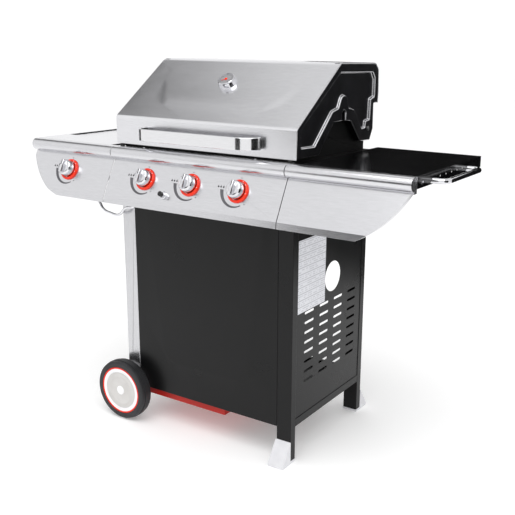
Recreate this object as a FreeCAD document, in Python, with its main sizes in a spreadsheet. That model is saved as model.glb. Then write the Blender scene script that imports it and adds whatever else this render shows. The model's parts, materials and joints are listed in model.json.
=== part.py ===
import FreeCAD, Part
import math
import os
import re
import Sketcher
from FreeCAD import Placement, Rotation, Vector

# Three-burner gas grill on a cart. The cart frame used below has X to the right, Y to the back
# and Z up, with X = 0 midway between the legs, Y = 0 on the front of the legs, Z = 0 on the ground.
# Each sub-part's Placement then moves it so that the origin is under the middle of the whole grill.

doc = FreeCAD.newDocument("GasGrill")
sizes = doc.addObject("Spreadsheet::Sheet", "Sizes")

driving = {
    # whole grill
    "originX": 29.85, "originY": 202.145, "sheet": 1.2, "gap": 0.3, "runGap": 0.06,
    # cart frame and panels
    "halfWidth": 318, "cartDepth": 447, "legWide": 49.4, "legDeep": 26, "legWall": 1.5,
    "legHigh": 744, "leftLegLow": 74, "footBase": 8, "footHigh": 70, "footReach": 46, "footToe": 3,
    "footLip": 1.4, "plugHigh": 40, "panelLow": 109, "panelHigh": 745, "panelReturn": 16,
    "shieldTop": 230, "shieldLow": 165, "shieldCorner": 112, "shieldBend": 52, "shieldRise": 3.5,
    "shieldCornerZ": 250, "shieldBaseZ": 213, "shieldTopZ": 742,
    "sideFace": 316.2, "sideHigh": 892, "railHigh": 135, "railRise": 1.5, "flange": 12,
    "slotLong": 52, "slotHigh": 7.5, "slotLowZ": 239, "slotPitchZ": 30.4, "slotFirstY": 97.5,
    "slotPitchY": 87, "portY": 234, "portZ": 527, "portRadius": 47.25,
    "cardY": 30, "cardZ": 459, "cardDeep": 155, "cardHigh": 217, "cardThick": 1,
    "barLow": 111, "barHigh": 151, "barUpperLow": 640, "barUpperHigh": 680, "barY": 428, "barDeep": 15,
    "shelfZ": 123.8, "trayLeft": 248, "trayRight": 62, "trayFront": 20, "trayBack": 330, "trayLow": 80,
    "trayLip": 10,
    # wheels
    "axleX": 308, "axleZ": 100, "axleRadius": 5, "axleFront": -45.5, "axleBack": 492.5,
    "wheelFace": 58, "tyreRadius": 100, "tyreWide": 45, "rimRadius": 78.8,
    # firebox and what is in it
    "boxHalf": 300, "boxFront": 8, "boxBack": 432, "boxTop": 905, "boxKnee": 780, "boxLow": 745,
    "mouthHalf": 150, "mouthFront": 60, "mouthBack": 380, "boxWall": 1.5, "backHigh": 1000,
    "endThick": 2.5, "pivotY": 411, "pivotZ": 960, "pinRadius": 4, "ledgeZ": 892.2, "ledgeX": 344.6,
    "ventY": 196, "ventZ": 948, "ventPitch": 16, "ventRadius": 2.5,
    "burnerZ": 798, "burnerX": 169, "burnerRadius": 11, "burnerBack": 400, "burnerFront": -3,
    "tentHalf": 55, "tentLow": 850, "tentHigh": 876, "grateLow": 889, "grateHigh": 899,
    "grateGap": 1, "grateHalf": 297, "grateSlot": 10, "gratePitch": 18, "grateRim": 9,
    "dripHalf": 150, "dripLow": 713.8, "dripHigh": 738, "railDrop": 712,
    # control panels
    "shelfTop": 900, "noseFront": 49.5, "noseRadius": 18.5, "faceTopY": 29, "faceTopZ": 863,
    "faceLowY": 85.5, "faceLowZ": 751, "panelFootY": 88, "panelFootZ": 733, "returnY": 62,
    "ledgeBack": 4, "wingBack": 13.5, "wingDropZ": 855, "seamX": 315.6, "seamGap": 0.2,
    "rightEnd": 679, "leftEnd": 663, "endStep": 7, "endTip": 128, "endBend": 262, "leftExtra": 14,
    "endDropZ": 857, "slopeShift": 1.12, "neckShift": 1.62,
    "knobSpan": 169, "sideKnobX": 489, "knobZ": 814, "knobRadius": 25, "knobBase": 4, "knobTop": 30,
    "knobShoulder": 24,
    "knobCap": 22, "gripTop": 42, "gripHalf": 5, "stemRadius": 4, "stemTop": 16, "stemLow": 35,
    "stemHole": 6, "bezelInner": 26.6, "bezelOuter": 34, "bezelRise": 7,
    "igniterX": 85, "igniterZ": 777, "buttonRadius": 7.5, "buttonTop": 21, "buttonLow": 10,
    "collarRadius": 9, "collarTop": 13, "collarFlange": 11.5,
    "valveHalf": 12, "valveTop": 22, "valveLow": 40, "manifoldDrop": 47.2, "manifoldRadius": 7,
    "manifoldLeft": 505, "manifoldRight": 235, "nozzleRadius": 5, "nozzleLong": 27,
    # lid
    "lidHalf": 325.6, "castThick": 21.8, "castRecess": 8, "castBack": 9,
    "handleFront": 60, "handleBend": 62, "handleThick": 8, "handleHalf": 159.3, "handleStand": 16,
    "handleLow": 927, "handleHigh": 962, "handleEndX": 208, "handleEndWide": 13, "lidSkinY": 5.4,
    "gaugeX": -3, "gaugeY": 137, "gaugeRadius": 30, "gaugeHigh": 22, "dialRadius": 24,
    # shelves and side burner
    "toolHoleY": 136.5, "toolHolePitch": 40, "toolHoleZ": 883, "toolHoleRadius": 2.6,
    "shelfFrontY": -13.3, "shelfBackY": 447.6, "shelfLow": 868, "shelfInner": 345, "leftShelfEnd": 668,
    "wellLeft": 659, "wellRight": 373, "wellFront": 108, "wellBack": 422, "wellLow": 860,
    "coverFront": 113, "coverLow": 886.5, "coverThick": 10, "coverPivotY": 411, "coverGap": 5,
    "notchLeft": 572, "notchRight": 519, "notchDeep": 9, "coverPin": 3,
    "burnerY": 265, "sideBurnerX": 516, "supportHalf": 105, "supportBar": 8, "supportLow": 878,
    "supportHigh": 885.5,
    # side handle, tool hook and screws
    "gripX": 722, "gripZ": 879, "gripRadius": 7.5, "gripFront": 72, "gripBack": 325, "gripBend": 20,
    "hookRadius": 4.2, "hookY": -22, "hookBend": 36, "screwRadius": 4, "screwHigh": 1.8,
}
for row, (alias, value) in enumerate(driving.items(), start=1):
    sizes.set("A%d" % row, alias)
    sizes.set("B%d" % row, str(value))
    sizes.setAlias("B%d" % row, alias)
doc.recompute()

nodes = []
cutting = []
functions = ("sqrt",)
# a view gives the origin plane, the sign of its normal and the way a pad grows along the positive axis
views = {"top": ("XY_Plane", 1), "front": ("XZ_Plane", -1), "side": ("YZ_Plane", 1)}


def formula(text):
    """Turns a formula in the sheet's words into a FreeCAD expression."""
    def full_name(word):
        name = word.group(0)
        return name if name in functions else "Sizes." + name
    return re.sub(r"[A-Za-z]\w*", full_name, text)


def number(text):
    return float(sizes.evalExpression(formula(text)))


def new_body(name):
    return doc.addObject("PartDesign::Body", name)


def new_sketch(body, view, start):
    """A sketch on one of the body's origin planes, moved along the plane's axis to start."""
    role, sign = views[view]
    sketch = body.newObject("Sketcher::SketchObject", body.Name + "Sketch")
    plane = [item for item in body.Origin.OriginFeatures if item.Role == role][0]
    sketch.AttachmentSupport = [(plane, "")]
    sketch.MapMode = "FlatFace"
    sketch.setExpression("AttachmentOffset.Base.z", "%d * (%s)" % (sign, formula(start)))
    return sketch


def constrain(sketch, joints, measures):
    """Adds the joining constraints and the measured ones, and binds each measure to its formula."""
    made = sketch.addConstraint(joints + [item for item, _ in measures])
    for index, (_, text) in zip(made[len(joints):], measures):
        sketch.setExpression("Constraints[%d]" % index, formula(text))


def outline(sketch, corners):
    """A closed outline. A corner is (u, v), or (u, v, radius) where an arc leads to the next corner;
    a positive radius has its centre on the left of the way round, a negative one on the right."""
    points = [Vector(number(corner[0]), number(corner[1]), 0) for corner in corners]
    base = sketch.GeometryCount
    ends = []
    measures = []
    for index, corner in enumerate(corners):
        start = points[index]
        end = points[(index + 1) % len(points)]
        if len(corner) == 2:
            sketch.addGeometry(Part.LineSegment(start, end), False)
            ends.append((1, 2))
        else:
            radius = number(corner[2])
            chord = end - start
            rise = math.sqrt(max(radius ** 2 - (chord.Length / 2) ** 2, 0))
            left = Vector(-chord.y, chord.x, 0).normalize()
            centre = (start + end) * 0.5 + left * math.copysign(rise, radius)
            first, last = (start, end) if radius > 0 else (end, start)
            begin = math.atan2(first.y - centre.y, first.x - centre.x)
            finish = math.atan2(last.y - centre.y, last.x - centre.x)
            if finish < begin:
                finish += 2 * math.pi
            circle = Part.Circle(centre, Vector(0, 0, 1), abs(radius))
            sketch.addGeometry(Part.ArcOfCircle(circle, begin, finish), False)
            ends.append((1, 2) if radius > 0 else (2, 1))
            size = Sketcher.Constraint("Radius", base + index, abs(radius))
            measures.append((size, corner[2].lstrip("-")))
    joints = []
    for index, corner in enumerate(corners):
        edge = base + index
        before = (index - 1) % len(corners)
        first = ends[index][0]
        joints.append(Sketcher.Constraint("Coincident", base + before, ends[before][1], edge, first))
        for kind, text in (("DistanceX", corner[0]), ("DistanceY", corner[1])):
            measures.append((Sketcher.Constraint(kind, -1, 1, edge, first, number(text)), text))
    constrain(sketch, joints, measures)


def rectangle(sketch, left, low, right, high):
    outline(sketch, [(left, low), (right, low), (right, high), (left, high)])


def circle(sketch, across, up, radius):
    centre = Vector(number(across), number(up), 0)
    ring = sketch.addGeometry(Part.Circle(centre, Vector(0, 0, 1), number(radius)), False)
    measures = [
        (Sketcher.Constraint("DistanceX", -1, 1, ring, 3, centre.x), across),
        (Sketcher.Constraint("DistanceY", -1, 1, ring, 3, centre.y), up),
        (Sketcher.Constraint("Radius", ring, number(radius)), radius),
    ]
    constrain(sketch, [], measures)


def pad(body, view, start, length, draw):
    """Adds material from start, by length along the positive axis, with the outline that draw makes."""
    sketch = new_sketch(body, view, start)
    draw(sketch)
    feature = body.newObject("PartDesign::Pad", body.Name + "Pad")
    feature.Profile = sketch
    feature.Reversed = views[view][1] < 0
    feature.setExpression("Length", formula(length))
    sketch.Visibility = False
    return feature


def cut(body, view, start, length, draw):
    """Removes material from start, by length along the positive axis."""
    sketch = new_sketch(body, view, start)
    draw(sketch)
    before = body.Tip
    feature = body.newObject("PartDesign::Pocket", body.Name + "Cut")
    feature.Profile = sketch
    feature.Reversed = views[view][1] > 0
    feature.setExpression("Length", formula(length))
    cutting.append((before, feature))
    return feature


def revolve(body, corners):
    """A turned piece about the body's Z axis; a corner is (radius, height)."""
    sketch = new_sketch(body, "front", "0")
    outline(sketch, corners)
    feature = body.newObject("PartDesign::Revolution", body.Name + "Turned")
    feature.Profile = sketch
    feature.ReferenceAxis = (sketch, ["V_Axis"])
    feature.Angle = 360
    return feature


def hollow(body, thickness, is_open, outward=False):
    """Makes the body a wall of one thickness, open where is_open(face) says so."""
    base = body.Tip
    base.recompute(True)
    names = ["Face%d" % (index + 1) for index, face in enumerate(base.Shape.Faces) if is_open(face)]
    feature = body.newObject("PartDesign::Thickness", body.Name + "Wall")
    feature.Base = (base, names)
    feature.setExpression("Value", formula(thickness))
    feature.Mode = "Skin"
    feature.Join = "Intersection"
    feature.Reversed = not outward
    return feature


def box(name, corner, size):
    item = doc.addObject("Part::Box", name)
    for axis, text in zip("xyz", corner):
        item.setExpression("Placement.Base." + axis, formula(text))
    for side, text in zip(("Length", "Width", "Height"), size):
        item.setExpression(side, formula(text))
    return item


def group(name, members):
    item = doc.addObject("Part::Compound", name)
    item.Links = members
    return item


def difference(name, base, tool):
    item = doc.addObject("Part::Cut", name)
    item.Base = base
    item.Tool = tool
    return item


def place(item, at=("0", "0", "0"), tilt=0):
    """Puts an item at a point of the cart frame, turned by tilt degrees about X."""
    item.Placement = Placement(Vector(), Rotation(Vector(1, 0, 0), tilt))
    for axis, text in zip("xyz", at):
        item.setExpression("Placement.Base." + axis, formula(text))


def node(item, at=("0", "0", "0"), tilt=0):
    """Registers a finished sub-part, placed in the grill's own frame."""
    place(item, ("%s - originX" % at[0], "%s - originY" % at[1], at[2]), tilt)
    nodes.append(item)


def side_word(side):
    return "right" if side > 0 else "left"


def behind(text, rear):
    """A distance from the front of the cart, or from its back for a rear piece."""
    return "cartDepth - (%s)" % text if rear else text


# ---- cart frame -------------------------------------------------------------------------------

def leg(side, rear):
    name = "leg_%s_%s" % ("rear" if rear else "front", side_word(side))
    low = "footBase" if side > 0 else "leftLegLow"
    front = "cartDepth - legDeep" if rear else "0"
    inner = "%d * (halfWidth - legWide)" % side
    outer = "%d * halfWidth" % side
    body = new_body(name)

    def draw(sketch):
        rectangle(sketch, inner, front, outer, front + " + legDeep")
        rectangle(sketch, inner + " + %d * legWall" % side, front + " + legWall",
                  outer + " - %d * legWall" % side, front + " + legDeep - legWall")
    pad(body, "top", low, "legHigh - %s" % low, draw)
    if side < 0:
        cut(body, "front", front + " - 1", "legDeep + 2",
            lambda sketch: circle(sketch, "-axleX", "axleZ", "axleRadius + gap"))
    node(body)


def foot(rear):
    body = new_body("foot_%s_right" % ("rear" if rear else "front"))
    left = "halfWidth - legWide - footLip"
    corners = [("-footReach", "0"), ("legDeep + footLip", "0"), ("legDeep + footLip", "footBase - gap"),
               ("-gap", "footBase - gap"), ("-gap", "footHigh"), ("-footToe", "footHigh"),
               ("-footReach", "footBase")]
    corners = [(behind(across, rear), up) for across, up in corners]
    pad(body, "side", left, "legWide + 2 * footLip", lambda sketch: outline(sketch, corners))
    # the plug that holds the foot in the leg's tube
    near = behind("legWall + gap", rear)
    far = behind("legDeep - legWall - gap", rear)
    pad(body, "top", "footBase - 2 * gap", "plugHigh",
        lambda sketch: rectangle(sketch, "halfWidth - legWide + legWall + gap", near,
                                 "halfWidth - legWall - gap", far))
    node(body)


def shield(sketch, inset):
    """The tapered field pressed into the front panel, smaller by inset all round."""
    top = "(shieldTop - %s)" % inset
    low = "(shieldLow - %s)" % inset
    corner = "shieldCorner"
    bend = "shieldBend - %s" % inset
    base = "shieldBaseZ + %s" % inset
    outline(sketch, [("-" + top, "shieldTopZ"), ("-" + low, "shieldCornerZ", bend),
                     ("-" + corner, base), (corner, base, bend),
                     (low, "shieldCornerZ"), (top, "shieldTopZ")])


def front_panel():
    body = new_body("front_panel")
    edge = "(halfWidth - legWide - gap)"
    pad(body, "front", "0", "panelReturn",
        lambda sketch: rectangle(sketch, "-" + edge, "panelLow", edge, "panelHigh"))
    hollow(body, "sheet", lambda face: face.CenterOfMass.y > number("panelReturn") - 0.01)
    pad(body, "front", "-shieldRise", "shieldRise + sheet / 2", lambda sketch: shield(sketch, "0"))
    cut(body, "front", "sheet - shieldRise", "shieldRise + sheet",
        lambda sketch: shield(sketch, "sheet"))
    node(body)


def side_panel(side):
    body = new_body("side_panel_" + side_word(side))
    near = "legDeep + gap"
    far = "cartDepth - legDeep - gap"
    skin = "sideFace - sheet" if side > 0 else "-sideFace"
    rail = "sideFace - sheet" if side > 0 else "-sideFace - railRise"
    lip = "sideFace - flange" if side > 0 else "-sideFace"
    pad(body, "side", skin, "sheet", lambda sketch: rectangle(sketch, near, "barLow", far, "sideHigh"))
    pad(body, "side", rail, "sheet + railRise",
        lambda sketch: rectangle(sketch, near, "barLow", far, "railHigh"))
    pad(body, "side", lip, "flange", lambda sketch: rectangle(sketch, near, "barLow", far, "barLow + sheet"))
    through = "sideFace - 3 * sheet" if side > 0 else "-sideFace - 2 * sheet"
    cut(body, "side", through, "5 * sheet", lambda sketch: circle(sketch, "portY", "portZ", "portRadius"))

    def slot_column(sketch):
        for level in range(8):
            middle = "slotLowZ + %d * slotPitchZ" % level
            low = middle + " - slotHigh / 2"
            high = middle + " + slotHigh / 2"
            left = "slotFirstY - slotLong / 2 + slotHigh / 2"
            right = "slotFirstY + slotLong / 2 - slotHigh / 2"
            half = "slotHigh / 2 + 0.001"
            outline(sketch, [(left, low), (right, low, half), (right, high), (left, high, half)])
    column = cut(body, "side", through, "5 * sheet", slot_column)
    pattern = body.newObject("PartDesign::LinearPattern", body.Name + "Columns")
    pattern.Originals = [column]
    pattern.Direction = (column.Profile[0], ["H_Axis"])
    pattern.Occurrences = 4
    pattern.setExpression("Length", formula("3 * slotPitchY"))
    body.Tip = pattern
    node(body)


def rear_crossbars():
    reach = "halfWidth - legWide - gap"
    bars = []
    for low, high in (("barLow", "barHigh"), ("barUpperLow", "barUpperHigh")):
        bars.append(box("crossbar_" + low, ("-(%s)" % reach, "barY", low),
                        ("2 * (%s)" % reach, "barDeep", "%s - %s" % (high, low))))
    node(group("rear_crossbars", bars))


def bottom_shelf():
    body = new_body("bottom_shelf")
    narrow = "(halfWidth - legWide - gap)"
    wide = "(sideFace - sheet - gap)"
    front = "panelReturn + gap"
    back = "barY - gap"
    near = "legDeep + gap"
    far = "cartDepth - legDeep - gap"
    right = [(narrow, front), (narrow, near), (wide, near), (wide, far), (narrow, far), (narrow, back)]
    left = [("-" + across, up) for across, up in reversed(right)]

    def draw(sketch):
        outline(sketch, right + left)
        rectangle(sketch, "-trayLeft - gap", "trayFront - gap", "trayRight + gap", "trayBack + gap")
    pad(body, "top", "shelfZ", "sheet", draw)
    node(body)


def bottle_tray():
    body = new_body("bottle_tray")
    pad(body, "top", "trayLow", "shelfZ + sheet - trayLow",
        lambda sketch: rectangle(sketch, "-trayLeft", "trayFront", "trayRight", "trayBack"))
    hollow(body, "sheet", lambda face: face.CenterOfMass.z > number("shelfZ + sheet") - 0.01)

    def draw(sketch):
        rectangle(sketch, "-trayLeft - trayLip", "trayFront - trayLip / 5",
                  "trayRight + trayLip", "trayBack + trayLip")
        rectangle(sketch, "-trayLeft + sheet", "trayFront + sheet", "trayRight - sheet", "trayBack - sheet")
    pad(body, "top", "shelfZ + sheet", "sheet", draw)
    node(body)


def data_card():
    node(box("data_card", ("0", "0", "0"), ("cardThick", "cardDeep", "cardHigh")),
         ("sideFace + 0.1", "cardY", "cardZ"))


# ---- wheels -----------------------------------------------------------------------------------

def wheels():
    axle = doc.addObject("Part::Cylinder", "wheel_axle")
    axle.setExpression("Radius", formula("axleRadius"))
    axle.setExpression("Height", formula("axleBack - axleFront"))
    node(axle, ("-axleX", "axleFront", "axleZ"), -90)
    for rear in (False, True):
        word = "rear" if rear else "front"
        at = ("-axleX", behind("-wheelFace", rear), "axleZ")
        tilt = -90 if rear else 90
        tyre = new_body("wheel_%s_tyre" % word)
        # sidewalls, rounded shoulders and two grooves round the tread
        half = [("rimRadius", "-1.5"), ("rimRadius + 2", "0"), ("tyreRadius - 10", "0", "-9"),
                ("tyreRadius - 3", "-4"), ("tyreRadius - 1.5", "-11"), ("tyreRadius - 3.5", "-12"),
                ("tyreRadius - 3.5", "-14"), ("tyreRadius", "-15")]
        back = [("tyreRadius", "-tyreWide + 15"), ("tyreRadius - 3.5", "-tyreWide + 14"),
                ("tyreRadius - 3.5", "-tyreWide + 12"), ("tyreRadius - 1.5", "-tyreWide + 11"),
                ("tyreRadius - 3", "-tyreWide + 4", "-9"), ("tyreRadius - 10", "-tyreWide"),
                ("rimRadius + 2", "-tyreWide"), ("rimRadius", "-tyreWide + 1.5")]
        revolve(tyre, half + back)
        node(tyre, at, tilt)
        hub = new_body("wheel_%s_hub" % word)
        revolve(hub, [("0", "-3.5"), ("62.6", "-3.5"), ("63.4", "-2.2"), ("73.6", "-2.2"), ("73.6", "-4"),
                      ("rimRadius - 0.2", "-4"), ("rimRadius - 0.2", "-42"), ("72", "-42"), ("72", "-9"),
                      ("14", "-9"), ("14", "-tyreWide"), ("axleRadius + runGap", "-tyreWide"),
                      ("axleRadius + runGap", "-12"), ("0", "-12")])
        node(hub, at, tilt)
        ring = new_body("wheel_%s_ring" % word)
        revolve(ring, [("73.8", "-3.9"), ("78.4", "-3.9"), ("78.4", "-1.6"), ("77.7", "-0.9"),
                       ("74.5", "-0.9"), ("73.8", "-1.6")])
        node(ring, at, tilt)


# ---- firebox ----------------------------------------------------------------------------------

def funnel(name, inset):
    """The firebox as a solid, or with an inset the space inside it, open above and below."""
    def upper(sketch):
        rectangle(sketch, "%s - boxHalf" % inset, "boxFront + %s" % inset,
                  "boxHalf - %s" % inset, "boxBack - %s" % inset)

    def lower(sketch):
        rectangle(sketch, "%s - mouthHalf" % inset, "mouthFront + %s" % inset,
                  "mouthHalf - %s" % inset, "mouthBack - %s" % inset)
    body = new_body(name)
    pad(body, "top", "boxKnee", "boxTop - boxKnee + %s" % inset, upper)
    knee = new_sketch(body, "top", "boxKnee")
    upper(knee)
    mouth = new_sketch(body, "top", "boxLow")
    lower(mouth)
    slope = body.newObject("PartDesign::AdditiveLoft", name + "_slope")
    slope.Profile = knee
    slope.Sections = [mouth]
    slope.Ruled = True
    return body, lower


def firebox():
    solid, _ = funnel("firebox_outside", "0")
    space, lower = funnel("firebox_inside", "boxWall")
    pad(space, "top", "boxLow - 1", "1", lower)
    walls = difference("firebox_walls", solid, space)
    body = new_body("firebox_fittings")
    # the back wall stands up behind the grates
    pad(body, "front", "boxBack - boxWall", "boxWall",
        lambda sketch: rectangle(sketch, "-boxHalf", "boxTop - 5", "boxHalf", "backHigh"))
    for across in ("-burnerX", "0", "burnerX"):
        cut(solid, "front", "boxFront - 1", "boxWall + 10",
            lambda sketch: circle(sketch, across, "burnerZ", "burnerRadius + 1"))
    # two rails that carry the drip tray
    for side in (1, -1):
        outer = "%d * (dripHalf + 3.5)" % side
        web = "%d * (dripHalf + 2)" % side
        toe = "%d * (dripHalf - 8)" % side
        pad(body, "front", "mouthFront", "mouthBack - mouthFront",
            lambda sketch: outline(sketch, [(toe, "railDrop"), (outer, "railDrop"), (outer, "boxLow + 2"),
                                            (web, "boxLow + 2"), (web, "railDrop + boxWall"),
                                            (toe, "railDrop + boxWall")]))
    whole = doc.addObject("Part::MultiFuse", "firebox")
    whole.Shapes = [walls, body]
    node(whole)


def firebox_end(side):
    body = new_body("firebox_end_" + side_word(side))
    start = "boxHalf + 0.2" if side > 0 else "-boxHalf - 0.2 - endThick"
    corners = [("boxFront", "boxKnee"), ("boxBack", "boxKnee"), ("boxBack", "pivotZ + 14"),
               ("pivotY - 16", "pivotZ + 14"), ("pivotY - 21", "pivotZ - 28"), ("322", "1012"),
               ("184", "1012"), ("98", "boxTop"), ("boxFront", "boxTop")]
    pad(body, "side", start, "endThick", lambda sketch: outline(sketch, corners))
    # the outer ledge that rests on the side panel
    shelf = "boxHalf + 0.2" if side > 0 else "-ledgeX"
    pad(body, "side", shelf, "ledgeX - boxHalf - 0.2",
        lambda sketch: rectangle(sketch, "boxFront", "ledgeZ", "boxBack", "ledgeZ + 2"))
    through = "boxHalf - 1" if side > 0 else "-boxHalf - 5"
    cut(body, "side", through, "6",
        lambda sketch: circle(sketch, "pivotY", "pivotZ", "pinRadius + 0.02"))

    def vents(sketch):
        for column in range(2):
            for level in range(3):
                circle(sketch, "ventY + %d * ventPitch" % column, "ventZ + %d * ventPitch" % level,
                       "ventRadius")
    cut(body, "side", through, "6", vents)
    node(body)


def cooking_grates():
    body = new_body("grate_right_half")
    front = "boxFront + boxWall + 3"
    back = "boxBack - boxWall - 3"
    pad(body, "top", "grateLow", "grateHigh - grateLow",
        lambda sketch: rectangle(sketch, "grateGap", front, "grateHalf", back))
    first = "grateGap + grateRim"
    slot = cut(body, "top", "grateLow - 1", "grateHigh - grateLow + 2",
               lambda sketch: rectangle(sketch, first, front + " + grateRim",
                                        first + " + grateSlot", back + " - grateRim"))
    pattern = body.newObject("PartDesign::LinearPattern", "grate_slots")
    pattern.Originals = [slot]
    pattern.Direction = (slot.Profile[0], ["H_Axis"])
    pattern.Occurrences = 16
    pattern.setExpression("Length", formula("15 * gratePitch"))
    body.Tip = pattern
    other = doc.addObject("Part::Mirroring", "grate_left_half")
    other.Source = body
    other.Normal = Vector(1, 0, 0)
    node(group("cooking_grates", [body, other]))


def heat_tents():
    tents = []
    for place_word, across in (("left", "-burnerX"), ("middle", "0"), ("right", "burnerX")):
        body = new_body("heat_tent_" + place_word)
        corners = [(across + " - tentHalf", "tentLow"), (across + " - tentHalf + 2", "tentLow"),
                   (across, "tentHigh - 2"), (across + " + tentHalf - 2", "tentLow"),
                   (across + " + tentHalf", "tentLow"), (across, "tentHigh")]
        pad(body, "front", "boxFront + boxWall", "boxBack - boxFront - 2 * boxWall",
            lambda sketch: outline(sketch, corners))
        tents.append(body)
    node(group("heat_tents", tents))


def burner_tubes():
    tubes = []
    for place_word, across in (("left", "-burnerX"), ("middle", "0"), ("right", "burnerX")):
        body = new_body("burner_tube_" + place_word)

        def draw(sketch):
            circle(sketch, across, "burnerZ", "burnerRadius")
            circle(sketch, across, "burnerZ", "burnerRadius - sheet")
        pad(body, "front", "burnerFront", "burnerBack - burnerFront", draw)
        pad(body, "front", "burnerBack - sheet", "sheet",
            lambda sketch: circle(sketch, across, "burnerZ", "burnerRadius - sheet / 2"))
        tubes.append(body)
    node(group("burner_tubes", tubes))


def drip_tray():
    body = new_body("drip_tray")
    pad(body, "top", "dripLow", "dripHigh - dripLow",
        lambda sketch: rectangle(sketch, "-dripHalf", "mouthFront + 2", "dripHalf", "mouthBack + 30"))
    hollow(body, "sheet", lambda face: face.CenterOfMass.z > number("dripHigh") - 0.01)
    # the bent lip at the back to pull it by
    pad(body, "top", "dripHigh - sheet", "sheet",
        lambda sketch: rectangle(sketch, "-60", "mouthBack + 29", "60", "mouthBack + 50"))
    node(body)


# ---- control panels ---------------------------------------------------------------------------

face_slope = math.degrees(math.atan2(number("faceLowY - faceTopY"), number("faceTopZ - faceLowZ")))
face_tilt = 90 - face_slope


def on_face(height):
    """The Y of the sloping control face at a height."""
    return "(-faceTopY - (faceLowY - faceTopY) * (faceTopZ - %s) / (faceTopZ - faceLowZ))" % height


def panel_profile(sketch, back, inset):
    """The panel seen from its side: top, bullnose, sloping face and foot. With an inset it is the
    hollow behind the sheet, which runs out past the open back."""
    past = "5 * %s" % inset
    nose = "noseRadius - %s" % inset
    outline(sketch, [
        ("%s + %s" % (back, past), "shelfTop - %s" % inset),
        ("noseRadius - noseFront", "shelfTop - %s" % inset, nose),
        ("%s - noseFront" % inset, "shelfTop - noseRadius", nose),
        ("noseRadius - noseFront", "faceTopZ + %s" % inset),
        ("%s * neckShift - faceTopY" % inset, "faceTopZ + %s" % inset),
        ("%s * slopeShift - faceLowY" % inset, "faceLowZ"),
        ("%s - panelFootY" % inset, "panelFootZ + %s" % inset),
        ("%s - returnY" % past, "panelFootZ + %s" % inset),
        ("%s + %s" % (back, past), "wingDropZ")])


def face_hole(body, across, height, radius):
    """A round hole square to the sloping face."""
    sketch = new_sketch(body, "front", "0")
    sketch.setExpression("AttachmentOffset.Base.z", None)
    turn = Rotation(Vector(1, 0, 0), -face_slope)
    sketch.AttachmentOffset = Placement(Vector(), turn)
    for axis, text in (("y", height), ("z", "-" + on_face(height))):
        sketch.setExpression("AttachmentOffset.Base." + axis, formula(text))
    circle(sketch, across, "0", radius)
    before = body.Tip
    feature = body.newObject("PartDesign::Pocket", body.Name + "Hole")
    feature.Profile = sketch
    feature.Midplane = True
    feature.Length = 12
    cutting.append((before, feature))


def control_panel_centre():
    reach = "(seamX - seamGap)"
    solid = new_body("centre_panel_outside")
    pad(solid, "side", "-" + reach, "2 * " + reach,
        lambda sketch: panel_profile(sketch, "ledgeBack", "0"))
    for across in ("-knobSpan", "0", "knobSpan"):
        face_hole(solid, across, "knobZ", "stemHole")
    face_hole(solid, "-igniterX", "igniterZ", "collarRadius + 0.2")
    space = new_body("centre_panel_inside")
    pad(space, "side", "-seamX", "2 * seamX", lambda sketch: panel_profile(sketch, "ledgeBack", "sheet"))
    node(difference("control_panel_centre", solid, space))


def wing_body(name, side, inset):
    """One side panel as a solid, or with an inset the hollow behind its sheet."""
    end = "rightEnd - %s" % inset if side > 0 else "leftEnd - %s" % inset
    step = "endStep" if side > 0 else "endStep + leftExtra"
    inner = "(seamX + seamGap - 2 * %s)" % inset
    start = inner if side > 0 else "-(%s)" % end
    body = new_body(name)
    pad(body, "side", start, "%s - %s" % (end, inner),
        lambda sketch: panel_profile(sketch, "-wingBack", inset))
    # the lower outer corner sweeps round to the bottom edge
    tip = "%s - endTip - (%s) + endStep" % (end, step)
    corners = [("%s - %s" % (end, step), "endDropZ + %s" % inset), (tip, "panelFootZ"),
               (tip, "panelFootZ - 20"), ("%s + 20" % end, "panelFootZ - 20"),
               ("%s + 20" % end, "endDropZ + %s" % inset)]
    corners = [("%d * (%s)" % (side, across), up) for across, up in corners]
    corners[0] += ("-endBend" if side > 0 else "endBend",)
    cut(body, "front", "-panelFootY - 5", "panelFootY + 20", lambda sketch: outline(sketch, corners))
    return body


def control_panel_wing(side):
    solid = wing_body("wing_outside_" + side_word(side), side, "0")
    if side < 0:
        face_hole(solid, "-sideKnobX", "knobZ", "stemHole")
    space = wing_body("wing_inside_" + side_word(side), side, "sheet")
    node(difference("control_panel_" + side_word(side), solid, space))


knobs = (("side", "-sideKnobX"), ("left", "-knobSpan"), ("middle", "0"), ("right", "knobSpan"))


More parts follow.
